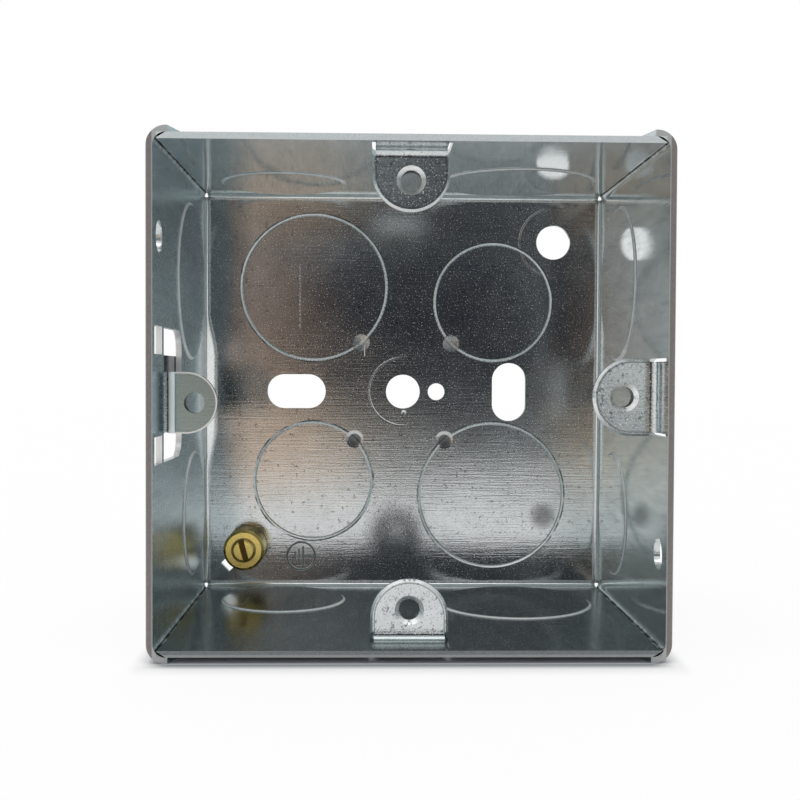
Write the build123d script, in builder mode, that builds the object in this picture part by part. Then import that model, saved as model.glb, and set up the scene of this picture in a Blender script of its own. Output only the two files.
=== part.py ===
"""Single-gang steel back box with knockouts, lanced lugs, a sliding lug and an earth terminal.

Millimetres. X runs to the right, Z up, and the open front faces -Y. The origin is the middle of
the back face, so the rim stands at y = -box_depth.
"""
import math
import os

from build123d import *

# Folded sheet of the box
box_width = 71.6  # outside, across the left and right walls
box_height = 70.8  # outside, across the top and bottom walls, without the corner flanges
box_depth = 47.0  # back face to rim
sheet = 0.9
base_bend_radius = 0.5  # inside of the bends round the base, and width of the corner seams
corner_bend_radius = 1.8  # inside of the bends that turn the side walls round the corners
seam_lip = 0.1  # square part of a wall end, beside the bevel that clears the corner bend
flange_length = 2.2  # flat of a corner flange, past its bend
flange_rim_length = 0.2  # the same at the rim, where the flange is cut back
flange_taper = 8.0  # depth over which the flange grows to its full length
flange_stop = 0.3  # between the flange and the bend of the base

# Knockouts: scored and held by one bridge each in the base, pressed a little inwards in the walls
large_knockout = 25.5  # diameter, for 25 mm conduit
small_knockout = 20.6  # diameter, for 20 mm conduit
score_width = 0.5
score_depth = 0.16
slug_rise = 0.3  # slug of a wall, inside the face of the wall
slug_slope = 0.5  # width of the step round the slug
bridge_width = 3.3
dimple_diameter = 3.0  # punch mark on the bridges of the base
dimple_depth = 0.12
knockout_floor_margin = 1.8  # edge of a wall knockout to the floor of the box
wall_large_offset = 18.0  # wall knockouts, from the middle of the wall
wall_small_offset = 20.0
base_large_x = 15.7  # base knockouts, from the middle of the base
base_large_z = 18.3
base_small_offset = 15.8

# Fixing holes in the base and in the side walls
fixing_hole = 6.0  # diameter of the middle and corner holes
pilot_hole = 3.0
pilot_offset = 5.9
corner_hole_side_margin = 8.4  # axis of the corner hole to the inside of the right wall
corner_hole_top_margin = 8.0  # the same to the top wall
fixing_slot_length = 10.3
fixing_slot_width = 6.0
fixing_slot_offset = 18.8
wall_hole = 4.5
wall_hole_offset = 22.0  # from the middle of the wall
wall_hole_depth = 4.7  # behind the rim

# Fixed lugs for the accessory screws
lug_hole_spacing = 60.3
lug_recess = 5.5  # rim to the front face of the lugs
lug_bore = 2.95  # tapping size
lug_mouth_edge = 0.6  # rolled edge of the screw hole
lug_collar = 4.7  # diameter
lug_collar_length = 1.6  # behind the lug
lug_width = 11.0
lug_root_width = 10.0
lug_bend_radius = 1.2  # inside
lug_tip_margin = 4.4  # centre of the hole to the tip
lug_edge = 0.35  # rolled edge of the outline
lug_slit_start = 1.2  # rim to the end of the relief slits

# Window and rail for the adjustable lug in the left wall
window_length = 19.2  # along the rim
window_start = 1.5  # behind the rim
window_end = 22.5
window_corner_radius = 3.0
tongue_width = 11.4
rail_drop = 1.4  # front face of the lug to the rail
rail_width = 1.2

# Adjustable lug
slider_sheet = 0.9
slider_bend_radius = 0.6  # inside
slider_width = 8.6
slider_offset = -1.05  # middle of the tab above the middle of the box
slider_tip_margin = 3.15  # centre of the hole to the tip
slider_collar = 4.2  # diameter
slider_collar_length = 1.0
leg_gap = 0.9  # leg to the inside of the wall
rail_gap = 0.35  # joggle to the rail
joggle_run = 2.4  # depth that the joggle takes
carrier_width = 11.4
carrier_end = 27.0  # behind the rim
carrier_gap = 0.1  # carrier to the outside of the wall

# Earth terminal in the lower left corner
terminal_side_margin = 7.5  # axis of the terminal to the inside of the left wall
terminal_bottom_margin = 7.2  # the same to the bottom wall
pillar_diameter = 7.0
pillar_height = 6.0  # above the floor of the box
pillar_edge = 0.45
tail_diameter = 4.0
tail_clearance = 0.03
tail_recess = 0.1  # end of the tail to the back face
key_slot_width = 2.1
key_slot_reach = 5.6  # axis of the terminal to the slot's end, towards the corner
wire_hole = 3.2
wire_hole_height = 2.7
screw_diameter = 3.9
screw_clearance = 0.05
screw_length = 4.2
screw_proud = 0.3
screw_edge = 0.3
screw_slot_width = 1.0
screw_slot_depth = 0.9
screw_slot_turn = 15.0  # degrees, with the upper end to the left
bore_floor = 1.0  # metal under the bore, above the floor of the box

# Sizes that follow from the ones above
inner_width = box_width - 2 * sheet
inner_height = box_height - 2 * sheet
inner_depth = box_depth - sheet
rim_y = -box_depth
floor_y = -sheet
flat_x = inner_width / 2 - base_bend_radius
flat_z = inner_height / 2 - base_bend_radius
corner_x = inner_width / 2 - corner_bend_radius
flange_end_y = -base_bend_radius - sheet - flange_stop
upright_hole_reach = (inner_height - lug_hole_spacing) / 2
level_hole_reach = (inner_width - lug_hole_spacing) / 2
lug_bend_length = math.pi / 2 * (lug_bend_radius + sheet / 2)
rail_start = lug_recess + rail_drop
rail_end = rail_start + rail_width
slider_reach = level_hole_reach + slider_tip_margin
corner_hole_x = inner_width / 2 - corner_hole_side_margin
corner_hole_z = inner_height / 2 - corner_hole_top_margin
terminal_x = terminal_side_margin - inner_width / 2
terminal_z = terminal_bottom_margin - inner_height / 2
pillar_top_y = floor_y - pillar_height
corner_turn = math.degrees(math.atan2(terminal_z, terminal_x))

# Working planes: the floor seen from the front, and each wall from its rim with y into the depth
floor = Plane(origin=(0, floor_y, 0), x_dir=(1, 0, 0), z_dir=(0, -1, 0))
right_wall = Plane(origin=(inner_width / 2, rim_y, 0), x_dir=(0, 0, 1), z_dir=(-1, 0, 0))
left_wall = Plane(origin=(-inner_width / 2, rim_y, 0), x_dir=(0, 0, -1), z_dir=(1, 0, 0))
top_wall = Plane(origin=(0, rim_y, inner_height / 2), x_dir=(-1, 0, 0), z_dir=(0, 0, -1))
bottom_wall = Plane(origin=(0, rim_y, -inner_height / 2), x_dir=(1, 0, 0), z_dir=(0, 0, 1))
terminal_seat = floor.location * Location((terminal_x, terminal_z, 0), (0, 0, corner_turn))


def knockout_cutter(diameter):
    """Score round a knockout, open over its bridge at +X."""
    radius = diameter / 2
    bridge = bridge_width / radius
    start = Plane(
        origin=(0, 0, 0),
        x_dir=(math.cos(bridge / 2), math.sin(bridge / 2), 0),
        z_dir=(math.sin(bridge / 2), -math.cos(bridge / 2), 0),
    )
    with BuildPart() as cutter:
        with BuildSketch(start):
            with BuildLine():
                Polyline(
                    (radius - score_width / 2, 0),
                    (radius + score_width / 2, 0),
                    (radius, -score_depth),
                    close=True,
                )
            make_face()
        revolve(axis=Axis.Z, revolution_arc=360 - math.degrees(bridge))
    return cutter.part


def fixed_lug(hole_reach):
    """Lug with its hole that far above a wall in the XY plane, whose rim runs along X."""
    lug_reach = hole_reach + lug_tip_margin
    with BuildPart() as lug:
        with BuildSketch(Plane.XZ.offset(-lug_recess - sheet)):
            SlotOverall(2 * lug_reach, lug_width, rotation=90)
            with Locations((0, lug_bend_radius)):
                Rectangle(
                    2 * lug_width,
                    2 * lug_reach,
                    align=(Align.CENTER, Align.MAX),
                    mode=Mode.SUBTRACT,
                )
        extrude(amount=sheet)
        lug_outline = faces().sort_by(Axis.Y)[0].edges().sort_by(Axis.Z)[1:]
        chamfer(lug_outline, length=lug_edge)
        with BuildSketch(Plane.YZ):
            with BuildLine():
                FilletPolyline(
                    (lug_slit_start, -sheet / 2),
                    (lug_recess + sheet / 2, -sheet / 2),
                    (lug_recess + sheet / 2, hole_reach),
                    radius=lug_bend_radius + sheet / 2,
                )
            trace(line_width=sheet)
        extrude(amount=lug_root_width / 2, both=True)
        with BuildSketch(Plane.XZ.offset(-lug_recess - sheet)):
            with Locations((0, hole_reach)):
                Circle(lug_collar / 2)
        extrude(amount=-lug_collar_length)
        with BuildSketch(Plane.XZ.offset(-lug_recess)):
            with Locations((0, hole_reach)):
                Circle(lug_bore / 2)
        extrude(amount=-sheet - lug_collar_length, mode=Mode.SUBTRACT)
        with Locations(Plane.XZ.offset(-lug_recess).location * Location((0, hole_reach, 0))):
            Cone(
                bottom_radius=lug_bore / 2,
                top_radius=lug_bore / 2 + lug_mouth_edge,
                height=lug_mouth_edge,
                align=(Align.CENTER, Align.CENTER, Align.MAX),
                mode=Mode.SUBTRACT,
            )
    return lug.part


# Box: base, walls, corner flanges and fixed lugs, folded from one sheet
with BuildPart() as box_body:
    # Base with the top and bottom walls
    wall_z = (box_height - sheet) / 2
    with BuildSketch(Plane.YZ):
        with BuildLine():
            FilletPolyline(
                (rim_y, wall_z),
                (-sheet / 2, wall_z),
                (-sheet / 2, -wall_z),
                (rim_y, -wall_z),
                radius=base_bend_radius + sheet / 2,
            )
        trace(line_width=sheet)
    extrude(amount=flat_x, both=True)
    with BuildSketch(Plane.XZ):
        for side_x in (-1, 1):
            for side_z in (-1, 1):
                with BuildLine():
                    Polyline(
                        (side_x * flat_x, side_z * (inner_height / 2 + seam_lip)),
                        (side_x * flat_x, side_z * box_height / 2),
                        (side_x * corner_x, side_z * box_height / 2),
                        close=True,
                    )
                make_face()
    extrude(amount=box_depth, mode=Mode.SUBTRACT)

    # Bends from the base into the side walls
    wall_x = (box_width - sheet) / 2
    with BuildSketch(Plane.XY):
        for side_x in (-1, 1):
            with BuildLine():
                bend = JernArc(
                    start=(side_x * flat_x, -sheet / 2),
                    tangent=(side_x, 0),
                    radius=base_bend_radius + sheet / 2,
                    arc_size=-side_x * 90,
                )
                Line(bend @ 1, (side_x * wall_x, flange_end_y))
            trace(line_width=sheet)
    extrude(amount=flat_z, both=True)

    # Side walls turned round the corners, onto the outside of the top and bottom walls
    turn_z = (box_height + sheet) / 2
    with BuildSketch(Plane.XZ.offset(box_depth)):
        for side_x in (-1, 1):
            with BuildLine():
                FilletPolyline(
                    (side_x * (corner_x - flange_rim_length), turn_z),
                    (side_x * wall_x, turn_z),
                    (side_x * wall_x, -turn_z),
                    (side_x * (corner_x - flange_rim_length), -turn_z),
                    radius=corner_bend_radius + sheet / 2,
                )
            trace(line_width=sheet)
    extrude(amount=rim_y - flange_end_y)
    with BuildSketch(Plane.XY.offset(box_height / 2)):
        for side_x in (-1, 1):
            with BuildLine():
                Polyline(
                    (side_x * corner_x, rim_y),
                    (side_x * (corner_x - flange_rim_length), rim_y),
                    (side_x * (corner_x - flange_length), rim_y + flange_taper),
                    (side_x * (corner_x - flange_length), flange_end_y),
                    (side_x * corner_x, flange_end_y),
                    close=True,
                )
            make_face()
    upper_flanges = extrude(amount=sheet)
    mirror(upper_flanges, about=Plane.XY)

    # Fixing holes and slots in the base
    with BuildSketch(floor):
        Circle(fixing_hole / 2)
        with Locations((corner_hole_x, corner_hole_z)):
            Circle(fixing_hole / 2)
        with Locations((pilot_offset, 0)):
            Circle(pilot_hole / 2)
        with Locations((-fixing_slot_offset, 0)):
            SlotOverall(fixing_slot_length, fixing_slot_width)
        with Locations((fixing_slot_offset, 0)):
            SlotOverall(fixing_slot_length, fixing_slot_width, rotation=90)
    extrude(amount=-sheet, mode=Mode.SUBTRACT)

    # Seat of the earth terminal, with its key slot towards the corner
    with BuildSketch(Plane(terminal_seat)):
        Circle(tail_diameter / 2 + tail_clearance)
        Rectangle(key_slot_reach, key_slot_width, align=(Align.MIN, Align.CENTER))
    extrude(amount=-sheet, mode=Mode.SUBTRACT)

    # Fixing holes near the rim of the side walls
    for wall in (left_wall, right_wall):
        with BuildSketch(wall):
            with Locations((-wall_hole_offset, wall_hole_depth)):
                Circle(wall_hole / 2)
        extrude(amount=-sheet, mode=Mode.SUBTRACT)

    # Window for the adjustable lug, with a rail across it and a tongue up to the rim
    with BuildSketch(left_wall):
        with Locations((0, rail_end)):
            Rectangle(window_length, window_end - rail_end, align=(Align.CENTER, Align.MIN))
        fillet(vertices().group_by(Axis.Y)[-1], radius=window_corner_radius)
        side_length = (window_length - tongue_width) / 2
        with GridLocations(tongue_width + side_length, 0, 2, 1):
            with Locations((0, (window_start + rail_start) / 2)):
                Rectangle(side_length, rail_start - window_start)
    extrude(amount=-sheet, mode=Mode.SUBTRACT)

    # Lanced windows and the lugs bent out of them
    for wall, hole_reach in (
        (right_wall, level_hole_reach),
        (top_wall, upright_hole_reach),
        (bottom_wall, upright_hole_reach),
    ):
        blank_reach = hole_reach + lug_tip_margin - 2 * lug_bend_radius + lug_bend_length
        round_y = lug_recess + blank_reach - lug_width / 2
        with BuildSketch(wall):
            with Locations((0, lug_slit_start)):
                Rectangle(lug_width, round_y - lug_slit_start, align=(Align.CENTER, Align.MIN))
            with Locations((0, round_y)):
                Circle(lug_width / 2)
        extrude(amount=-sheet, mode=Mode.SUBTRACT)
        with Locations(wall):
            add(fixed_lug(hole_reach))

    # Knockouts of the base, with punch-marked bridges towards the middle, and of the walls
    large_cutter = knockout_cutter(large_knockout)
    small_cutter = knockout_cutter(small_knockout)
    for side in (-1, 1):
        for cutter, diameter, x, z in (
            (large_cutter, large_knockout, -side * base_large_x, side * base_large_z),
            (small_cutter, small_knockout, side * base_small_offset, side * base_small_offset),
        ):
            bridge_turn = math.degrees(math.atan2(-z, -x))
            with Locations(floor.location * Location((x, z, 0), (0, 0, bridge_turn))):
                add(cutter, mode=Mode.SUBTRACT)
                with Locations((diameter / 2, 0, 0)):
                    Cone(
                        bottom_radius=0,
                        top_radius=dimple_diameter / 2,
                        height=dimple_depth,
                        align=(Align.CENTER, Align.CENTER, Align.MAX),
                        mode=Mode.SUBTRACT,
                    )
    for wall, side in ((right_wall, 1), (bottom_wall, 1), (left_wall, -1), (top_wall, -1)):
        for diameter, x in (
            (large_knockout, side * wall_large_offset),
            (small_knockout, -side * wall_small_offset),
        ):
            y = inner_depth - knockout_floor_margin - diameter / 2
            with Locations(wall.location * Location((x, y, 0))):
                Cone(
                    bottom_radius=diameter / 2,
                    top_radius=diameter / 2 - slug_slope,
                    height=slug_rise,
                    align=(Align.CENTER, Align.CENTER, Align.MIN),
                )

# Adjustable lug: carrier outside the wall, joggle through the window, leg and tab inside
with BuildPart() as slider:
    carrier_z = -sheet - carrier_gap - slider_sheet / 2
    leg_z = leg_gap + slider_sheet / 2
    tab_y = lug_recess + slider_sheet / 2
    joggle_slope = joggle_run / (leg_z - carrier_z)
    joggle_half = slider_sheet / 2 * math.hypot(1, joggle_slope)
    joggle_y = rail_end + rail_gap + joggle_half - joggle_slope * leg_z
    with BuildSketch(Plane.YZ):
        with BuildLine():
            FilletPolyline(
                (carrier_end, carrier_z),
                (joggle_y + joggle_run, carrier_z),
                (joggle_y, leg_z),
                (tab_y, leg_z),
                (tab_y, slider_reach),
                radius=slider_bend_radius + slider_sheet / 2,
            )
        trace(line_width=slider_sheet)
    extrude(amount=carrier_width / 2, both=True)
    with BuildSketch(Plane.XZ):
        with Locations((0, -sheet / 2)):
            Rectangle(2 * carrier_width, 2 * slider_reach, align=(Align.CENTER, Align.MIN))
        with Locations((-slider_offset, -sheet / 2)):
            Rectangle(
                slider_width,
                slider_reach + sheet / 2 - slider_width / 2,
                align=(Align.CENTER, Align.MIN),
                mode=Mode.SUBTRACT,
            )
        with Locations((-slider_offset, slider_reach - slider_width / 2)):
            Circle(slider_width / 2, mode=Mode.SUBTRACT)
    extrude(amount=-carrier_end, mode=Mode.SUBTRACT)
    with BuildSketch(Plane.XZ.offset(-lug_recess - slider_sheet)):
        with Locations((-slider_offset, level_hole_reach)):
            Circle(slider_collar / 2)
    extrude(amount=-slider_collar_length)
    with BuildSketch(Plane.XZ.offset(-lug_recess)):
        with Locations((-slider_offset, level_hole_reach)):
            Circle(lug_bore / 2)
    extrude(amount=-slider_sheet - slider_collar_length, mode=Mode.SUBTRACT)

with BuildPart() as adjustable_lug:
    with Locations(left_wall):
        add(slider.part)

# Brass pillar on the base, with a tail in the base and a hole for the wire
with BuildPart() as earth_terminal:
    with BuildSketch(Plane(terminal_seat)):
        Circle(pillar_diameter / 2)
    extrude(amount=pillar_height)
    chamfer(edges().filter_by(GeomType.CIRCLE).sort_by(Axis.Y)[0], length=pillar_edge)
    with BuildSketch(Plane(terminal_seat)):
        Circle(tail_diameter / 2)
    extrude(amount=tail_recess - sheet)
    with BuildSketch(Plane(terminal_seat).offset(pillar_height)):
        Circle(screw_diameter / 2 + screw_clearance)
    extrude(amount=bore_floor - pillar_height, mode=Mode.SUBTRACT)
    wire_plane = Plane(terminal_seat * Location((0, 0, wire_hole_height), (90, 0, 0)))
    with BuildSketch(wire_plane):
        Circle(wire_hole / 2)
    extrude(amount=pillar_diameter, both=True, mode=Mode.SUBTRACT)

# Slotted clamping screw in the top of the pillar
with BuildPart() as earth_screw:
    screw_top = Plane(
        origin=(terminal_x, pillar_top_y - screw_proud, terminal_z),
        x_dir=(1, 0, 0),
        z_dir=(0, -1, 0),
    )
    with BuildSketch(screw_top):
        Circle(screw_diameter / 2)
    extrude(amount=-screw_length)
    chamfer(edges().filter_by(GeomType.CIRCLE).sort_by(Axis.Y)[0], length=screw_edge)
    with BuildSketch(screw_top):
        Rectangle(screw_slot_width, 2 * screw_diameter, rotation=screw_slot_turn)
    extrude(amount=-screw_slot_depth, mode=Mode.SUBTRACT)

os.makedirs("parts", exist_ok=True)
box_body.part.label = "box_body"
export_step(box_body.part, "parts/box_body.step")
adjustable_lug.part.label = "adjustable_lug"
export_step(adjustable_lug.part, "parts/adjustable_lug.step")
earth_terminal.part.label = "earth_terminal"
export_step(earth_terminal.part, "parts/earth_terminal.step")
earth_screw.part.label = "earth_screw"
export_step(earth_screw.part, "parts/earth_screw.step")
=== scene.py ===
import math

import bmesh
import bpy
from mathutils import Matrix, Vector


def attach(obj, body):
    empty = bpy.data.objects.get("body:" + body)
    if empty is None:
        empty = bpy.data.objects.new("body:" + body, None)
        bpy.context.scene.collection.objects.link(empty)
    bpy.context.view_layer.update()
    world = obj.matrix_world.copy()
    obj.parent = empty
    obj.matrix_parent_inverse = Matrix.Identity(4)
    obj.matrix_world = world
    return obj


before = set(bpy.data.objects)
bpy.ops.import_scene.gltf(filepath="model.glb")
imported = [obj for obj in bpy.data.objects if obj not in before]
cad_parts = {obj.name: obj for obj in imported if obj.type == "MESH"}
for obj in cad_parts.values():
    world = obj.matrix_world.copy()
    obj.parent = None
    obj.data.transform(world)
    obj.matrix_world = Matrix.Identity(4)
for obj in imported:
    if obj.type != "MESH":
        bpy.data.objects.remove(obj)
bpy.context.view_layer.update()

# Sizes of the box that its surface marks follow, in millimetres
MM = 0.001
RIM_Y = -47.0
FLOOR_Y = -0.9
MID_SHEET_Y = -0.4
INSIDE_X = 34.9
INSIDE_Z = 34.5
OUTSIDE_Z = 35.4
SEAM_X = 34.3
SEAM_Z = 34.45
SEAM_END_X = 35.2
STAND_Z = -36.3
FOOT_HALF = 36.0
BEND_WIDTH = 0.85
BEND_END_Y = -2.4

# Lugs, their screw holes, and the slider with its window
LUG_Y = -41.5
LUG_HOLE = 30.15
LUG_ROUND = 5.5
LUG_ROUND_AT = 31.25
LUG_ROOT_HALF = 5.2
LUG_ROOT_Z = -32.4
THREAD_RADIUS = 1.56
THREAD_END_Y = -38.4
THREAD_PITCH = 0.6
TAB_HOLE = (-30.15, -1.05)
TAB_ROUND = 4.3
TAB_ROUND_X = -31.3
TAB_BEND_X = (-34.2, -31.0)
TAB_BEND_Y = -39.4
STRIP_BACK_X = -33.95
RAIL_Y = -40.1
WINDOW_END_Y = -24.5
WINDOW_HALF = 9.6

# Knockouts and marks, each by its middle, with a radius where it is round
KNOCKOUTS_BASE = [
    (-15.7, 18.3, 12.75),
    (15.7, -18.3, 12.75),
    (15.8, 15.8, 10.3),
    (-15.8, -15.8, 10.3),
]
KNOCKOUTS_WALL = [(18.0, -15.45, 12.75), (-20.0, -13.0, 10.3)]
SCORE_HALF = 0.30
WITNESS_RINGS = [(0.0, 0.0, 6.0), (26.5, 26.5, 6.0)]
PUNCH_MARK = (0.15, -3.75)
SMUDGE = (25.0, -22.0)

# Earth terminal and the sign beside it
TERMINAL = (-27.4, -27.3)
PILLAR_TOP_Y = -6.5
PILLAR_BORE = 2.05
SCREW_TOP_Y = -7.2
SCREW_RADIUS = 1.95
SLOT_HALF = 0.5
SLOT_LEAN = math.radians(15.0)
EARTH_SIGN = (-17.9, -29.2)
SIGN_RADIUS = 2.45
SIGN_BARS = ((-1.05, 0.75), (-0.35, 1.25), (0.35, 1.75))
SIGN_STEM = (0.5, 2.3)
SIGN_RING_WIDTH = 0.42
SIGN_BAR_WIDTH = 0.38
SIGN_RISE = 0.10
SIGN_SINK = -0.02

# Camera fitted to the photograph, which is square
CAMERA_AT = Vector((-5.04, -195.45, 3.077)) * MM
CAMERA_TILT, CAMERA_YAW, CAMERA_ROLL = 1.349, 1.329, 0.271
FOCAL_PIXELS = 1099.0
PHOTO_PIXELS = 800.0
SENSOR_WIDTH = 36.0

# Stage, in millimetres, and its light
TABLE_HALF, TABLE_FRONT, TABLE_BACK = 900, -195, 1200
TABLE_GREY = (0.26, 0.27, 0.28)
TABLE_WHITE_SPOT = (66.0, 246.0)
CARD_Y = -600
CARD_LEFT, CARD_RIGHT, CARD_FOOT, CARD_TOP = -290, 310, -200, 270
ROOM_HALF, ROOM_FRONT, ROOM_BACK, ROOM_TOP = 650, -240, 650, 500
ROOM_WINDOW = (-156.0, 109.0)
WORLD_STRENGTH = 0.62
LAMP_STRENGTH = 1.25
LAMP_SPREAD = math.radians(60.0)
LAMP_TURN = (math.radians(14.0), math.radians(-6.0), 0.0)

# Least share of a normal along an axis for its face to count as facing that way
FACING = 0.7


def rotation(axis, degrees):
    return Matrix.Rotation(math.radians(degrees), 3, axis)


def add_camera():
    turn = rotation("X", CAMERA_TILT) @ rotation("Z", CAMERA_YAW) @ rotation("Y", CAMERA_ROLL)
    right, forward, up = turn[0], turn[1], turn[2]
    data = bpy.data.cameras.new("camera")
    data.sensor_width = SENSOR_WIDTH
    data.lens = SENSOR_WIDTH * FOCAL_PIXELS / PHOTO_PIXELS
    data.clip_start = 0.005
    camera = bpy.data.objects.new("camera", data)
    bpy.context.scene.collection.objects.link(camera)
    camera.matrix_world = Matrix((
        (right.x, up.x, -forward.x, CAMERA_AT.x),
        (right.y, up.y, -forward.y, CAMERA_AT.y),
        (right.z, up.z, -forward.z, CAMERA_AT.z),
        (0, 0, 0, 1),
    ))
    bpy.context.scene.camera = camera


def seen_rays(tree):
    """1 for rays from the camera, a mirror or glass, and 0 for those from a matt surface."""
    path = tree.nodes.new("ShaderNodeLightPath")
    factor = path.outputs["Is Camera Ray"]
    for name in ("Is Glossy Ray", "Is Transmission Ray"):
        most = tree.nodes.new("ShaderNodeMath")
        most.operation = "MAXIMUM"
        tree.links.new(factor, most.inputs[0])
        tree.links.new(path.outputs[name], most.inputs[1])
        factor = most.outputs[0]
    return factor


def mix_shaders(tree, factor, first, second, output):
    node = tree.nodes.new("ShaderNodeMixShader")
    for socket, source in zip(node.inputs, (factor, first.outputs[0], second.outputs[0])):
        tree.links.new(source, socket)
    tree.links.new(node.outputs[0], output.inputs["Surface"])


class Shader:
    """A node material that is built up in layers, each painted over the last through a mask."""

    def __init__(self, name):
        self.material = bpy.data.materials.new(name)
        self.material.use_nodes = True
        self.tree = self.material.node_tree
        self.tree.nodes.clear()
        self.output = self.tree.nodes.new("ShaderNodeOutputMaterial")
        self.metal = 1.0

    def put(self, socket, value):
        if isinstance(value, bpy.types.NodeSocket):
            self.tree.links.new(value, socket)
        else:
            socket.default_value = value

    def math(self, operation, *values):
        node = self.tree.nodes.new("ShaderNodeMath")
        node.operation = operation
        for socket, value in zip(node.inputs, values):
            self.put(socket, value)
        return node.outputs[0]

    def chain(self, operation, values):
        total = values[0]
        for value in values[1:]:
            total = self.math(operation, total, value)
        return total

    def add(self, *values):
        return self.chain("ADD", values)

    def times(self, *values):
        return self.chain("MULTIPLY", values)

    def most(self, *values):
        return self.chain("MAXIMUM", values)

    def least(self, *values):
        return self.chain("MINIMUM", values)

    def less(self, a, b):
        return self.math("SUBTRACT", a, b)

    def size(self, value):
        return self.math("ABSOLUTE", value)

    def under(self, value, limit):
        return self.math("LESS_THAN", value, limit)

    def over(self, value, limit):
        return self.math("GREATER_THAN", value, limit)

    def above(self, value, low, high):
        """0 at low, 1 at high, smooth between; low may be the larger one."""
        node = self.tree.nodes.new("ShaderNodeMapRange")
        node.interpolation_type = "SMOOTHSTEP"
        for socket, number in zip(node.inputs, (value, low, high, 0.0, 1.0)):
            self.put(socket, number)
        return node.outputs[0]

    def band(self, value, low, high, soft):
        """1 from low to high, falling to 0 over the soft width outside them."""
        return self.times(self.above(value, low - soft, low), self.above(value, high + soft, high))

    def xyz(self, vector):
        node = self.tree.nodes.new("ShaderNodeSeparateXYZ")
        self.put(node.inputs[0], vector)
        return node.outputs[0], node.outputs[1], node.outputs[2]

    def vector(self, x, y, z):
        node = self.tree.nodes.new("ShaderNodeCombineXYZ")
        for socket, value in zip(node.inputs, (x, y, z)):
            self.put(socket, value)
        return node.outputs[0]

    def millimetres(self):
        node = self.tree.nodes.new("ShaderNodeVectorMath")
        node.operation = "SCALE"
        self.put(node.inputs[0], self.tree.nodes.new("ShaderNodeTexCoord").outputs["Object"])
        node.inputs["Scale"].default_value = 1.0 / MM
        return node.outputs[0]

    def normal(self):
        return self.tree.nodes.new("ShaderNodeNewGeometry").outputs["True Normal"]

    def noise(self, vector, scale, detail=1.0, roughness=0.5):
        node = self.tree.nodes.new("ShaderNodeTexNoise")
        for name, value in (
            ("Vector", vector),
            ("Scale", scale),
            ("Detail", detail),
            ("Roughness", roughness),
        ):
            self.put(node.inputs[name], value)
        return node.outputs[0]

    def mixed(self, kind, factor, a, b):
        node = self.tree.nodes.new("ShaderNodeMix")
        node.data_type = "RGBA" if kind == "Color" else "FLOAT"
        for name, value in (("Factor_Float", factor), ("A_" + kind, a), ("B_" + kind, b)):
            self.put([i for i in node.inputs if i.identifier == name][0], value)
        return [o for o in node.outputs if o.identifier == "Result_" + kind][0]

    def mix(self, factor, a, b):
        return self.mixed("Color", factor, a, b)

    def blend(self, factor, a, b):
        return self.mixed("Float", factor, a, b)

    def paint(self, mask, colour, rough=None, metal=None):
        self.colour = self.mix(mask, self.colour, (*colour, 1.0))
        if rough is not None:
            self.rough = self.blend(mask, self.rough, rough)
        if metal is not None:
            self.metal = self.blend(mask, self.metal, metal)

    def length(self, a, b):
        return self.math("SQRT", self.add(self.times(a, a), self.times(b, b)))

    def apart(self, a, b, centre_a, centre_b):
        return self.length(self.less(a, centre_a), self.less(b, centre_b))

    def ring(self, a, b, centre_a, centre_b, radius, width):
        """1 on a circle of that radius, falling to 0 at that width to each side."""
        away = self.size(self.less(self.apart(a, b, centre_a, centre_b), radius))
        return self.above(away, width, width * 0.3)

    def surface(self):
        """Principled surface from the layers, with its height in millimetres along the normal."""
        bump = self.tree.nodes.new("ShaderNodeBump")
        self.put(bump.inputs["Height"], self.height)
        bump.inputs["Distance"].default_value = MM
        bump.inputs["Strength"].default_value = 1.0
        node = self.tree.nodes.new("ShaderNodeBsdfPrincipled")
        for name, value in (
            ("Base Color", self.colour),
            ("Metallic", self.metal),
            ("Roughness", self.rough),
            ("Normal", bump.outputs[0]),
        ):
            self.put(node.inputs[name], value)
        self.tree.links.new(node.outputs[0], self.output.inputs["Surface"])
        return self.material

    def glow(self):
        """A card on the stage that shows its own colour."""
        node = self.tree.nodes.new("ShaderNodeEmission")
        self.put(node.inputs["Color"], self.colour)
        node.inputs["Strength"].default_value = 1.0
        self.tree.links.new(node.outputs[0], self.output.inputs["Surface"])
        return self.material


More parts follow.
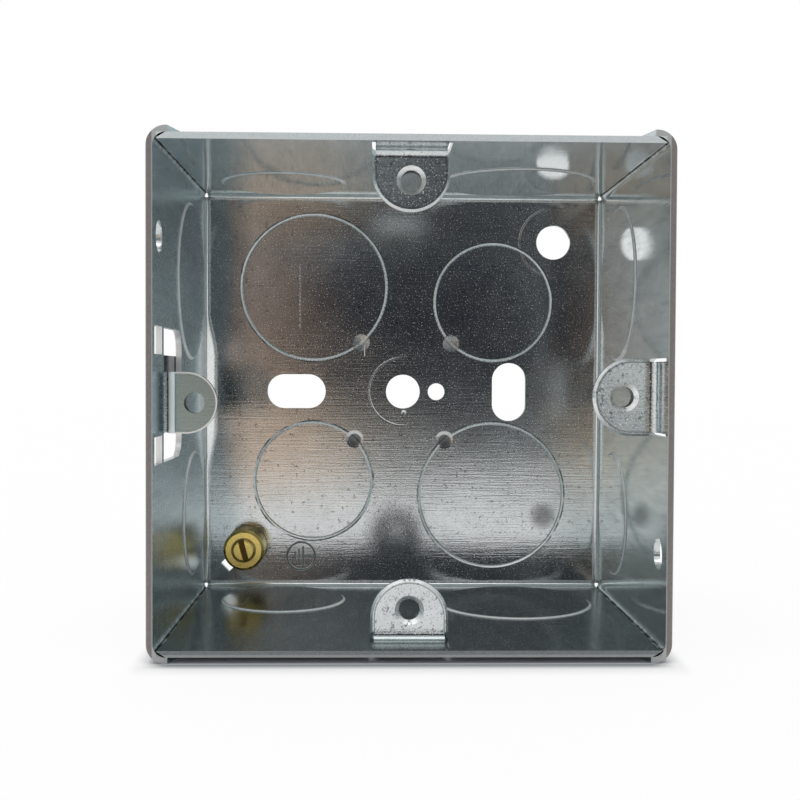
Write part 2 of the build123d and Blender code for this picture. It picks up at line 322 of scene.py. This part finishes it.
def zinc_ground(name):
    """Bright galvanised sheet: a mirror with rolling lines, clouds, pits and specks."""
    s = Shader(name)
    place = s.millimetres()
    s.x, s.y, s.z = s.xyz(place)
    s.nx, s.ny, s.nz = s.xyz(s.normal())
    s.wide, s.high = s.size(s.x), s.size(s.z)
    s.on_side = s.over(s.size(s.nx), FACING)
    s.on_top = s.over(s.size(s.nz), FACING)
    s.on_base = s.over(s.size(s.ny), FACING)
    s.on_floor = s.times(s.on_base, s.above(s.y, MID_SHEET_Y, MID_SHEET_Y - 0.2))

    # The sheet was rolled along X, so the lines turn the corners with it
    along = s.times(s.blend(s.on_side, s.x, s.y), 0.11)
    across = s.times(s.blend(s.on_top, s.z, s.y), 3.2)
    lines = s.noise(s.vector(along, across, s.times(s.on_side, 9.0)), 1.0, 1.0, 0.7)
    s.fine = s.noise(place, 4.4, 2.0, 0.7)
    s.cloud = s.noise(place, 0.35, 3.0, 0.65)
    waves = s.noise(place, 0.07, 0.0)
    spots = s.noise(place, 1.1, 2.0)
    large_pits = s.times(s.above(spots, 0.61, 0.69), s.above(s.fine, 0.42, 0.54))
    pits = s.most(s.above(s.fine, 0.595, 0.665), large_pits)
    specks = s.above(s.fine, 0.385, 0.31)
    skin = s.add(s.times(lines, 0.0095), s.times(s.fine, 0.0105))
    s.height = s.add(s.times(skin, s.blend(s.on_base, 0.45, 1.0)), s.times(waves, 0.13))
    s.colour = s.mix(s.cloud, (0.48, 0.51, 0.518, 1), (0.73, 0.748, 0.748, 1))
    s.rough = s.add(0.05, s.times(s.cloud, 0.09))
    s.paint(s.times(pits, s.blend(s.on_floor, 0.25, 0.75)), (0.12, 0.125, 0.13))
    specks = s.times(specks, s.blend(s.on_floor, 0.3, 0.8))
    s.paint(specks, (0.97, 0.98, 0.98), rough=0.5, metal=0.4)

    # Rolled edges of the lugs and of their screw holes, painted light as a painted highlight
    chamfer_highlight = s.times(
        s.band(s.ny, -0.80, -0.60, 0.05),
        s.band(s.y, LUG_Y - 0.1, LUG_Y + 0.7, 0.05),
    )
    s.paint(s.times(chamfer_highlight, 0.8), (0.93, 0.94, 0.94), rough=0.32)
    front = s.band(s.y, LUG_Y - 0.1, LUG_Y + 0.1, 0.05)
    s.on_lug = s.times(s.above(s.ny, -0.90, -0.96), front)
    return s


def tapped(s, radius):
    """Thread in a screw hole, at that distance from its axis, painted dark as painted shade in the
    hole.
    """
    shaded_bore = s.times(
        s.above(radius, THREAD_RADIUS + 0.04, THREAD_RADIUS - 0.04),
        s.band(s.y, LUG_Y + 0.1, THREAD_END_Y, 0.1),
        s.under(s.size(s.ny), 0.5),
    )
    s.paint(s.times(shaded_bore, 0.85), (0.13, 0.13, 0.125), rough=0.35)
    wave = s.math("SINE", s.times(s.y, 2 * math.pi / THREAD_PITCH))
    s.height = s.add(s.height, s.times(shaded_bore, wave, 0.07))


def slider_material():
    """The sliding strip is duller, with a painted highlight at its bend and painted shade where it
    passes the wall.
    """
    s = zinc_ground("zinc_strip")
    tapped(s, s.apart(s.x, s.z, *TAB_HOLE))
    s.paint(s.times(s.on_lug, 0.92), (0.33, 0.415, 0.42), rough=0.26, metal=1.0)
    beyond = s.most(s.less(s.x, TAB_ROUND_X), 0.0)
    to_middle = s.length(beyond, s.less(s.z, TAB_HOLE[1]))
    # The tab's rolled edge painted light as a painted highlight
    rolled_edge_highlight = s.above(to_middle, TAB_ROUND - 0.25, TAB_ROUND - 0.15)
    s.paint(s.times(s.on_lug, rolled_edge_highlight), (0.92, 0.93, 0.93), rough=0.4)
    # The bend painted near white and hardly metal, as a painted highlight
    turn = s.times(
        s.band(s.ny, -0.95, -0.10, 0.03),
        s.band(s.x, *TAB_BEND_X, 0.1),
        s.above(s.y, TAB_BEND_Y + 0.2, TAB_BEND_Y - 0.2),
    )
    s.paint(turn, (1.0, 1.0, 0.98), rough=0.4, metal=0.05)
    # Painted shade on the strip where it passes behind the wall, on faces turned to the inside
    behind = s.above(s.x, STRIP_BACK_X + 0.1, STRIP_BACK_X - 0.1)
    behind = s.times(behind, s.over(s.nx, -0.3))
    s.paint(s.times(behind, 0.75), (0.11, 0.12, 0.13))
    return s.surface()


def box_walls(s):
    """Walls lean out a little to the rim, duller at the left and below, and painted greener than
    the base, each in its own tone as painted shade and reflection.
    """
    s.inside = s.under(s.add(s.times(s.nx, s.x), s.times(s.nz, s.z)), 0.0)
    walls = s.times(s.inside, s.most(s.on_side, s.on_top))
    top = s.times(walls, s.on_top, s.over(s.z, 0.0))
    bottom = s.times(walls, s.on_top, s.under(s.z, 0.0))
    left = s.times(walls, s.on_side, s.under(s.x, 0.0))
    right = s.times(walls, s.on_side, s.over(s.x, 0.0))
    s.height = s.add(s.height, s.times(s.y, walls, 0.030))
    # Painted shade and reflection: each wall its own lighter or darker green-grey, darkest below,
    # the right one darker towards the bottom
    s.paint(s.times(right, 0.35), (0.55, 0.63, 0.63))
    s.paint(s.times(right, s.above(s.z, 6.0, -8.0), 0.45), (0.40, 0.52, 0.53))
    s.paint(s.times(left, 0.7), (0.40, 0.56, 0.61))
    s.paint(s.times(top, 0.35), (0.30, 0.37, 0.38))
    s.paint(s.times(bottom, 0.75), (0.15, 0.195, 0.205))
    s.rough = s.times(s.rough, s.less(1.0, s.times(s.most(top, right), 0.5)))
    s.rough = s.add(s.rough, s.times(left, 0.16), s.times(bottom, 0.10))
    drawn = s.vector(s.times(s.x, 0.9), s.times(s.y, 0.10), s.times(s.z, 0.9))
    streaks = s.noise(drawn, 1.0, 2.0, 0.65)
    s.paint(s.times(walls, s.above(streaks, 0.52, 0.72), 0.35), (0.20, 0.25, 0.26))
    s.paint(s.times(walls, s.above(streaks, 0.44, 0.30), 0.25), (0.80, 0.86, 0.86))

    # Strip and bend of the lug at the bottom, dulled and painted darker as painted shade under the
    # lug
    shaded_root = s.times(
        s.under(s.wide, LUG_ROOT_HALF),
        s.under(s.z, LUG_ROOT_Z),
        s.band(s.y, RIM_Y + 1.0, LUG_Y - 0.1, 0.1),
    )
    s.paint(s.times(shaded_root, 0.7), (0.27, 0.31, 0.31), rough=0.3)


def box_bends(s):
    """Bends round the base, stretched and rough, with painted highlights, wider where the window
    lights them.
    """
    to_side, to_level = s.less(INSIDE_X, s.wide), s.less(INSIDE_Z, s.high)
    to_wall, to_corner = s.least(to_side, to_level), s.most(to_side, to_level)
    lit = s.times(s.above(s.high, 14.5, 6.0), s.above(s.x, -29.0, -31.0))
    past = s.less(to_wall, s.add(BEND_WIDTH, s.times(lit, 1.2)))
    rough_past = s.less(past, s.times(s.cloud, 0.25))
    low = s.times(s.above(s.y, -6.0, -5.0), s.blend(s.on_base, s.inside, s.on_floor))
    floor_zone = s.times(s.above(rough_past, 0.15, -0.15), low)
    floor_line = s.times(s.band(rough_past, -0.25, -0.05, 0.08), low)
    wall_zone = s.times(s.above(s.y, BEND_END_Y, BEND_END_Y + 0.8), s.inside)
    wall_line = s.times(s.band(s.y, BEND_END_Y - 0.2, BEND_END_Y + 0.5, 0.3), s.inside)
    bend_highlight = s.blend(s.on_base, wall_zone, floor_zone)
    line = s.blend(s.on_base, wall_line, floor_line)
    # Painted highlights along the bends: a light zone, light lines and light turned faces
    s.paint(s.times(bend_highlight, s.add(0.15, s.times(s.cloud, 0.6))), (0.82, 0.86, 0.86), rough=0.32)
    line = s.times(line, s.above(s.fine, 0.30, 0.60))
    s.paint(line, (0.93, 0.96, 0.96), rough=0.4, metal=0.7)
    turned = s.times(s.band(s.size(s.ny), 0.15, 0.90, 0.05), low, s.inside)
    turned = s.times(turned, s.add(0.5, s.times(s.fine, 0.6)))
    s.paint(turned, (0.86, 0.92, 0.91), rough=0.4, metal=0.3)

    # Light from the window on the left bend
    streaked = s.above(s.fine, 0.22, 0.55)
    floor_lit = s.times(s.above(past, 0.6, -0.5), low, s.on_base)
    s.paint(s.times(lit, floor_lit, streaked), (0.98, 1.0, 0.99), rough=0.28, metal=0.75)
    wall_lit = s.above(s.add(s.y, s.times(lit, 5.2), s.times(s.cloud, 1.2)), -0.6, 0.3)
    wall_lit = s.times(wall_lit, s.inside, s.on_side, s.above(lit, 0.05, 0.3))
    s.paint(s.times(wall_lit, streaked), (1.0, 1.0, 1.0), rough=0.4, metal=0.12)

    # Corners of the base, dull and painted dark as painted shade where two walls meet it
    corner_shade = s.times(s.above(to_corner, 1.3, 0.8), s.above(s.y, -3.5, -2.5))
    s.paint(s.times(corner_shade, 0.8), (0.30, 0.33, 0.33), rough=0.4, metal=1.0)

    # The sheet rises to the wall in a round, which mirrors the light in front of the box
    rise = s.times(s.most(s.times(past, -1.0), 0.0), low, s.on_base)
    rise = s.times(rise, s.above(to_corner, 0.6, 1.8))
    steep = s.least(rise, 0.8)
    s.height = s.add(s.height, s.times(steep, steep, 0.32), s.times(s.less(rise, steep), 0.4))


def box_knockouts(s):
    """Scored rings, their bridges, and the rings and marks that the punches left on the base."""
    base_rings = []
    worn = s.above(s.cloud, 0.35, 0.6)
    for centre_x, centre_z, radius in KNOCKOUTS_BASE:
        base_rings.append(s.ring(s.x, s.z, centre_x, centre_z, radius, SCORE_HALF))
        edge = s.ring(s.x, s.z, centre_x, centre_z, radius + SCORE_HALF, 0.18)
        s.paint(s.times(edge, s.on_floor, worn), (0.06, 0.065, 0.065), rough=0.3)
    base_rings = s.most(*base_rings)
    wall_rings = []
    for centre, depth, radius in KNOCKOUTS_WALL:
        for level, facing in ((s.z, s.on_side), (s.x, s.on_top)):
            ring = s.ring(level, s.y, centre, depth, radius - 0.25, 0.28)
            wall_rings.append(s.times(ring, facing))
    wall_rings = s.most(*wall_rings)
    outside = s.most(
        s.times(base_rings, s.above(s.y, MID_SHEET_Y, MID_SHEET_Y + 0.2)),
        s.times(wall_rings, s.less(1.0, s.inside)),
    )
    marks = s.times(outside, -0.05)
    s.paint(s.times(outside, 0.5), (0.20, 0.21, 0.21), rough=0.3)
    # Painted highlight: the inside wall rings painted near white
    s.paint(s.times(wall_rings, s.inside, 0.95), (1.0, 1.0, 1.0), rough=0.45, metal=0.2)
    # Painted highlight along the base scores
    score_highlight = s.times(base_rings, s.band(s.y, FLOOR_Y - 0.05, FLOOR_Y + 0.30, 0.05))
    score_highlight = s.times(score_highlight, s.above(s.fine, 0.38, 0.58))
    s.paint(score_highlight, (0.93, 0.94, 0.93), rough=0.4, metal=0.55)
    for centre_x, centre_z, radius in WITNESS_RINGS:
        ring = s.ring(s.x, s.z, centre_x, centre_z, radius, 0.20)
        ring = s.times(ring, s.on_floor, s.above(s.x, centre_x + 2.0, centre_x - 3.0))
        marks = s.add(marks, s.times(ring, -0.016))

    # Bridges: dull grey dents above; below, dents painted dark as painted shade, with a painted
    # highlight on their upper edge
    for centre_x, centre_z, radius in KNOCKOUTS_BASE:
        share = 1.0 - radius / math.hypot(centre_x, centre_z)
        middle_x, middle_z = centre_x * share, centre_z * share
        away = s.apart(s.x, s.z, middle_x, middle_z)
        if centre_z > 0:
            dull = s.times(s.above(away, 1.7, 1.1), s.add(0.2, s.times(s.cloud, 0.6)))
            s.paint(s.times(s.on_floor, dull), (0.45, 0.47, 0.47), rough=0.4)
        else:
            dent_shade = s.times(s.on_floor, s.above(away, 1.35, 0.95), 0.85)
            s.paint(dent_shade, (0.08, 0.09, 0.09), rough=0.35)
            upper = s.above(s.z, middle_z + 0.1, middle_z + 1.1)
            dent_highlight = s.times(s.on_floor, s.band(away, 1.15, 1.6, 0.2), upper, 0.75)
            s.paint(dent_highlight, (0.92, 0.94, 0.94), rough=0.4, metal=0.6)

    # Small marks near the middle, a scar in the upper left knockout and a dark smudge
    mark = s.times(s.above(s.apart(s.x, s.z, *PUNCH_MARK), 0.55, 0.1), s.on_floor)
    scratch = s.times(s.band(s.x, -6.86, -6.78, 0.06), s.band(s.z, 6.3, 8.0, 0.2), s.on_floor)
    scar = s.times(s.band(s.x, -18.32, -18.12, 0.12), s.band(s.z, 11.5, 22.0, 0.8))
    scar = s.times(scar, s.above(s.fine, 0.50, 0.57), s.on_floor, 0.8)
    s.paint(s.most(scratch, scar), (0.95, 0.96, 0.96), rough=0.5)
    smudge = s.above(s.apart(s.x, s.z, *SMUDGE), 3.2, 0.8)
    smudge = s.times(smudge, s.on_floor, s.add(0.2, s.times(s.cloud, 0.9)))
    s.paint(smudge, (0.20, 0.205, 0.205), rough=0.3)
    s.height = s.add(s.height, marks, s.times(mark, -0.05))


def box_edges(s):
    """Corner seams, sheared edges of the window, edges of the lugs and the cut rim."""
    deep = s.times(s.above(s.y, FLOOR_Y - 0.3, FLOOR_Y - 0.7), s.under(s.wide, SEAM_END_X))
    seam = s.times(
        deep,
        s.above(s.wide, SEAM_X - 0.04, SEAM_X + 0.04),
        s.above(s.high, SEAM_Z - 0.05, SEAM_Z + 0.05),
        s.under(s.high, OUTSIDE_Z),
    )
    near = s.times(
        deep,
        s.above(s.wide, SEAM_X - 0.25, SEAM_X - 0.05),
        s.above(s.high, SEAM_Z - 0.40, SEAM_Z - 0.15),
        s.inside,
    )
    s.paint(s.times(seam, s.above(s.fine, 0.66, 0.58)), (0.012, 0.015, 0.018), rough=0.6)
    # Painted highlight on the burred edges beside the seam
    burr_highlight = s.times(near, s.above(s.cloud, 0.45, 0.60), s.above(s.fine, 0.46, 0.56))
    s.paint(s.times(burr_highlight, 0.8), (0.92, 0.95, 0.95), rough=0.5, metal=0.6)

    # Front edge of the rail and the end of the window, sheared edges painted near white as painted
    # light
    rail = s.times(s.above(s.ny, -0.8, -0.9), s.band(s.y, RAIL_Y - 0.2, RAIL_Y + 0.2, 0.05))
    end = s.band(s.y, WINDOW_END_Y - 3.2, WINDOW_END_Y + 0.1, 0.1)
    end = s.times(s.under(s.size(s.nx), 0.5), end)
    in_wall = s.above(s.x, 0.3 - INSIDE_X, 0.1 - INSIDE_X)
    cut = s.times(s.most(rail, end), in_wall, s.under(s.high, WINDOW_HALF + 0.1))
    s.paint(cut, (0.97, 0.97, 0.97), rough=0.45)

    # Lugs: a fine line of painted shade inside the rolled edge, and the right one tilted a little
    upright = s.length(s.x, s.most(s.less(LUG_ROUND_AT, s.high), 0.0))
    level = s.length(s.z, s.most(s.less(LUG_ROUND_AT, s.x), 0.0))
    inner = LUG_ROUND - 0.52
    edge_shade_line = s.most(*[s.band(away, inner - 0.1, inner, 0.08) for away in (upright, level)])
    s.paint(s.times(edge_shade_line, s.on_lug, 0.6), (0.12, 0.13, 0.13), rough=0.3)
    s.height = s.add(s.height, s.times(s.on_lug, s.above(s.x, 20.0, 21.0), s.x, -0.035))

    # Cut rim: bare brown steel at the sides, painted lighter above as painted light, painted darker
    # below as painted shade, with grey grain, lighter low down
    rim = s.times(s.above(s.y, RIM_Y + 0.10, RIM_Y + 0.04), s.above(s.ny, -0.7, -0.9))
    steel = s.mix(s.fine, (0.105, 0.094, 0.090, 1), (0.31, 0.285, 0.272, 1))
    burred = s.most(
        s.above(s.wide, INSIDE_X + 0.16, INSIDE_X + 0.04),
        s.above(s.wide, INSIDE_X + 0.76, INSIDE_X + 0.88),
    )
    steel = s.mix(s.times(burred, 0.5), steel, (0.62, 0.66, 0.66, 1))
    lit_top_rim = s.mix(s.fine, (0.42, 0.46, 0.47, 1), (0.80, 0.85, 0.86, 1))
    below = s.mix(s.fine, (0.06, 0.067, 0.070, 1), (0.33, 0.355, 0.36, 1))
    lower = s.times(s.above(s.z, -INSIDE_Z - 0.45, -INSIDE_Z - 0.65), 0.4)
    below = s.mix(lower, below, (0.55, 0.58, 0.59, 1))
    level_rim = s.mix(s.above(s.z, -1.0, 1.0), below, lit_top_rim)
    at_side = s.most(
        s.above(s.wide, SEAM_X + 0.05, SEAM_X + 0.15),
        s.above(s.high, OUTSIDE_Z - 0.04, OUTSIDE_Z + 0.04),
    )
    s.colour = s.mix(rim, s.colour, s.mix(at_side, level_rim, steel))
    s.rough = s.blend(rim, s.rough, 0.5)
    s.metal = s.blend(rim, s.metal, 0.35)


def box_material():
    s = zinc_ground("zinc_steel")
    upright = s.apart(s.x, s.high, 0.0, LUG_HOLE)
    level = s.apart(s.x, s.z, LUG_HOLE, 0.0)
    tapped(s, s.least(upright, level))
    box_walls(s)
    box_bends(s)
    box_knockouts(s)
    box_edges(s)
    return s.surface()


def brass_material(name, screw=False):
    """Turned brass with fine tool rings, painted dark as painted shade in the slot, round the
    screw, in the bore and at its foot.
    """
    s = Shader(name)
    place = s.millimetres()
    x, y, z = s.xyz(place)
    cloud = s.noise(place, 0.9, 3.0, 0.6)
    grain = s.noise(place, 5.0, 2.0)
    radius = s.apart(x, z, *TERMINAL)
    turned = s.noise(s.vector(s.times(radius, 7.0), s.times(y, 7.0), 0.0), 1.0, 1.0)
    s.colour = s.mix(cloud, (0.78, 0.52, 0.10, 1), (1.0, 0.82, 0.32, 1))
    s.rough = s.add(0.16, s.times(cloud, 0.18))
    if screw:
        away = s.size(s.add(
            s.times(s.less(x, TERMINAL[0]), math.cos(SLOT_LEAN)),
            s.times(s.less(z, TERMINAL[1]), math.sin(SLOT_LEAN)),
        ))
        slot = s.above(away, SLOT_HALF + 0.04, SLOT_HALF - 0.04)
        slot = s.times(slot, s.above(y, SCREW_TOP_Y + 0.05, SCREW_TOP_Y + 0.5))
        side = s.above(radius, SCREW_RADIUS - 0.09, SCREW_RADIUS)
        dark = s.most(slot, s.times(side, 0.6))
    else:
        shaded_bore = s.above(radius, PILLAR_BORE + 0.2, PILLAR_BORE)
        shaded_bore = s.times(shaded_bore, s.above(y, PILLAR_TOP_Y + 0.5, PILLAR_TOP_Y), 0.6)
        dark = s.most(shaded_bore, s.above(y, FLOOR_Y - 1.5, FLOOR_Y - 0.1))
    # Painted shade: the slot, the gap round the screw, the bore and the foot
    s.paint(s.times(dark, 0.88), (0.060, 0.034, 0.010), rough=0.5)
    s.height = s.add(s.times(turned, 0.010), s.times(grain, 0.004))
    return s.surface()


def sign_material():
    """Stamped line: dark on top, with flanks painted bright as a painted highlight."""
    s = Shader("zinc_stamp")
    fine = s.noise(s.millimetres(), 4.0, 2.0)
    ny = s.xyz(s.normal())[1]
    s.colour = s.mix(fine, (0.07, 0.085, 0.085, 1), (0.20, 0.23, 0.23, 1))
    s.rough = s.add(0.25, s.times(fine, 0.2))
    s.height = s.times(fine, 0.02)
    s.paint(s.above(s.size(ny), 0.97, 0.90), (0.86, 0.90, 0.89), rough=0.3)
    return s.surface()


def stage_object(name, corners, material):
    mesh = bpy.data.meshes.new(name)
    mesh.from_pydata([Vector(c) * MM for c in corners], [], [tuple(range(len(corners)))])
    mesh.materials.append(material)
    plane = bpy.data.objects.new(name, mesh)
    bpy.context.scene.collection.objects.link(plane)
    return plane


def table_material():
    """White table: far from the box mostly its own white to the eye, near it light and shadow."""
    s = Shader("table")
    place = s.millimetres()
    x, y, _ = s.xyz(place)
    grain = s.noise(place, 0.04, 2.0)
    beside = s.most(s.less(s.size(x), FOOT_HALF), 0.0)
    before = s.most(s.less(RIM_Y, y), y, 0.0)
    clear = s.length(s.times(beside, 3.0), before)
    share = s.times(s.above(clear, 0.0, 7.0), 0.88)
    s.colour = s.mix(grain, (0.95, 0.95, 0.95, 1), (0.97, 0.97, 0.97, 1))

    # Painted contact shadow along the rim, and painted shade in the gap under the box
    between = s.above(s.size(x), FOOT_HALF + 0.5, FOOT_HALF - 3.5)
    s.paint(s.times(s.above(before, 3.0, 0.6), between), (0.31, 0.325, 0.345))
    s.paint(s.times(s.above(before, 0.30, 0.02), between), (0.62, 0.64, 0.68))

    # Behind and beside the box the metal mirrors a greyer table, but for one white spot
    path = s.tree.nodes.new("ShaderNodeLightPath")
    to_box = s.length(beside, s.most(y, 0.0))
    far = s.times(s.above(to_box, 10.0, 220.0), s.above(y, -70.0, 0.0))
    far = s.times(far, s.above(s.apart(x, y, *TABLE_WHITE_SPOT), 60.0, 150.0))
    grey = s.times(far, path.outputs["Is Glossy Ray"], s.add(0.55, s.times(grain, 0.6)))
    s.paint(grey, TABLE_GREY)
    matt = s.tree.nodes.new("ShaderNodeBsdfDiffuse")
    s.put(matt.inputs["Color"], s.colour)
    own = s.tree.nodes.new("ShaderNodeEmission")
    s.put(own.inputs["Color"], s.mix(grey, (1, 1, 1, 1), (*TABLE_GREY, 1)))
    own.inputs["Strength"].default_value = 1.0
    mix_shaders(s.tree, s.times(seen_rays(s.tree), share), matt, own, s.output)
    return s.material


def card_material():
    """What stands behind the camera, for the metal to mirror: dark, with a warm strip at the left.

    Places on the card are in millimetres; xs and zs have uneven borders.
    """
    s = Shader("front_card")
    place = s.millimetres()
    x, _, z = s.xyz(place)
    uneven = s.noise(place, 0.012, 2.0, 0.6)
    mottle = s.noise(place, 0.04, 2.0, 0.6)
    shift = s.times(s.less(uneven, 0.5), 60.0)
    xs, zs = s.add(x, shift), s.add(z, shift)

    # Grey middle, lighter to both sides, darker above
    s.colour = s.mix(s.above(x, 125.0, 200.0), (0.19, 0.21, 0.22, 1), (0.74, 0.76, 0.76, 1))
    s.paint(s.above(x, -108.0, -138.0), (0.62, 0.65, 0.65))
    upper = s.above(z, 90.0, 130.0)
    s.paint(s.times(upper, s.above(x, 40.0, -10.0)), (0.25, 0.27, 0.28))
    s.paint(s.times(upper, s.above(x, -10.0, 40.0)), (0.12, 0.13, 0.14))

    # Dark middle and the warm strip beside it
    dark = s.times(s.above(xs, -78.0, -52.0), s.above(xs, 150.0, 112.0), s.above(zs, 125.0, 85.0))
    s.paint(dark, (0.034, 0.037, 0.045))
    warm = s.times(s.above(xs, -108.0, -94.0), s.above(xs, -60.0, -80.0), s.above(z, 170.0, 110.0))
    warm = s.times(warm, s.add(0.15, s.times(mottle, 1.4)))
    s.paint(warm, (0.38, 0.225, 0.14))

    # Bright foot, warm at the left and grey at the right, with warm patches
    low = s.above(z, 5.0, -80.0)
    s.paint(s.times(low, s.above(x, 60.0, -60.0)), (0.95, 0.82, 0.69))
    s.paint(s.times(low, s.above(x, -60.0, 60.0)), (0.27, 0.28, 0.28))
    s.paint(s.times(warm, s.above(z, 25.0, -45.0), 0.75), (0.80, 0.51, 0.34))
    brown = s.times(s.band(x, -152.0, -122.0, 8.0), s.band(z, 20.0, 55.0, 15.0))
    s.paint(s.times(brown, 0.9), (0.44, 0.29, 0.20))
    orange = s.times(s.band(xs, -88.0, -58.0, 16.0), s.band(z, -84.0, -42.0, 18.0))
    s.paint(s.times(orange, 0.65), (0.90, 0.56, 0.33))
    lowest = s.above(z, -88.0, -112.0)
    s.paint(s.times(lowest, s.above(x, 10.0, -70.0)), (0.55, 0.45, 0.38))
    s.paint(s.times(lowest, s.above(x, -70.0, 10.0)), (0.36, 0.40, 0.41))
    return s.glow()


def room_material():
    """Soft grey room beside, behind and above the box, for the outside of the sheet to mirror."""
    s = Shader("room")
    place = s.millimetres()
    x, y, z = s.xyz(place)
    s.colour = s.mix(s.above(z, -40.0, 260.0), (0.22, 0.23, 0.24, 1), (0.95, 0.96, 0.96, 1))
    patches = s.above(s.noise(place, 0.007, 1.0), 0.42, 0.62)
    s.paint(s.times(patches, 0.55), (0.30, 0.315, 0.325))
    window = s.above(s.apart(x, z, *ROOM_WINDOW), 130.0, 50.0)
    s.paint(s.times(window, s.over(y, ROOM_BACK - 50.0)), (1.0, 1.0, 1.0))
    return s.glow()


def add_stage():
    """Table, a card in front and a room of cards, which only the metal's mirror rays see."""
    z = STAND_Z
    table = [
        (-TABLE_HALF, TABLE_FRONT, z),
        (TABLE_HALF, TABLE_FRONT, z),
        (TABLE_HALF, TABLE_BACK, z),
        (-TABLE_HALF, TABLE_BACK, z),
    ]
    stage_object("table", table, table_material())
    front = [
        (CARD_LEFT, CARD_Y, CARD_FOOT),
        (CARD_LEFT, CARD_Y, CARD_TOP),
        (CARD_RIGHT, CARD_Y, CARD_TOP),
        (CARD_RIGHT, CARD_Y, CARD_FOOT),
    ]
    cards = [stage_object("front_card", front, card_material())]
    room = room_material()
    side, near, far, top = ROOM_HALF, ROOM_FRONT, ROOM_BACK, ROOM_TOP
    for name, corners in (
        ("left_card", [(-side, near, z), (-side, far, z), (-side, far, top), (-side, near, top)]),
        ("right_card", [(side, near, z), (side, far, z), (side, far, top), (side, near, top)]),
        ("back_card", [(-side, far, z), (side, far, z), (side, far, top), (-side, far, top)]),
        ("top_card", [(-side, near, top), (side, near, top), (side, far, top), (-side, far, top)]),
    ):
        cards.append(stage_object(name, corners, room))
    for card in cards:
        card.visible_camera = False
        card.visible_diffuse = False
        card.visible_shadow = False


def add_light():
    """White world, dimmer as light than to the eye, and a broad soft lamp from above."""
    world = bpy.data.worlds.new("studio")
    bpy.context.scene.world = world
    world.use_nodes = True
    tree = world.node_tree
    tree.nodes.clear()
    output = tree.nodes.new("ShaderNodeOutputWorld")
    whites = []
    for strength in (WORLD_STRENGTH, 1.0):
        white = tree.nodes.new("ShaderNodeBackground")
        white.inputs["Color"].default_value = (1, 1, 1, 1)
        white.inputs["Strength"].default_value = strength
        whites.append(white)
    mix_shaders(tree, seen_rays(tree), *whites, output)
    lamp = bpy.data.lights.new("soft_top", "SUN")
    lamp.angle = LAMP_SPREAD
    lamp.energy = LAMP_STRENGTH
    top = bpy.data.objects.new("soft_top", lamp)
    top.location = (0.05, -0.1, 0.6)
    top.rotation_euler = LAMP_TURN
    bpy.context.scene.collection.objects.link(top)


def stroke(bm, points, width, closed=False):
    """Stamped line on the floor of the box: a low ridge along points given in (x, z)."""
    count = len(points)
    profile = ((-1.0, SIGN_SINK), (-0.45, SIGN_RISE), (0.45, SIGN_RISE), (1.0, SIGN_SINK))
    rows = []
    for i, point in enumerate(points):
        before = points[i - 1] if i or closed else point
        after = points[(i + 1) % count] if i < count - 1 or closed else point
        way = (Vector(after) - Vector(before)).normalized()
        side = Vector((-way.y, way.x)) * width / 2
        row = []
        for share, lift in profile:
            at = Vector(point) + side * share
            row.append(bm.verts.new(Vector((at.x, FLOOR_Y - lift, at.y)) * MM))
        rows.append(row)
    for i in range(count if closed else count - 1):
        a, b = rows[i], rows[(i + 1) % count]
        for j in range(len(profile) - 1):
            bm.faces.new((a[j], a[j + 1], b[j + 1], b[j]))
    if not closed:
        bm.faces.new(rows[0])
        bm.faces.new(rows[-1])


def add_earth_sign(material):
    """Earth sign in a ring, turned on its side, stamped next to the terminal."""
    cx, cz = EARTH_SIGN
    bm = bmesh.new()
    turn = [2 * math.pi * i / 64 for i in range(64)]
    ring = [(cx + SIGN_RADIUS * math.cos(a), cz + SIGN_RADIUS * math.sin(a)) for a in turn]
    stroke(bm, ring, SIGN_RING_WIDTH, closed=True)
    for offset, half in SIGN_BARS:
        stroke(bm, [(cx + offset, cz - half), (cx + offset, cz + half)], SIGN_BAR_WIDTH)
    stroke(bm, [(cx + offset, cz) for offset in SIGN_STEM], SIGN_BAR_WIDTH)
    bmesh.ops.recalc_face_normals(bm, faces=bm.faces)
    mesh = bpy.data.meshes.new("earth_sign")
    bm.to_mesh(mesh)
    bm.free()
    mesh.materials.append(material)
    sign = bpy.data.objects.new("earth_sign", mesh)
    bpy.context.scene.collection.objects.link(sign)
    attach(sign, "box")


add_camera()
finishes = {
    "box_body": box_material(),
    "adjustable_lug": slider_material(),
    "earth_terminal": brass_material("brass"),
    "earth_screw": brass_material("brass_screw", screw=True),
}
for node, material in finishes.items():
    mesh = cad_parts[node].data
    mesh.materials.clear()
    mesh.materials.append(material)
add_earth_sign(sign_material())
add_stage()
add_light()
bpy.context.scene.view_settings.view_transform = "Standard"
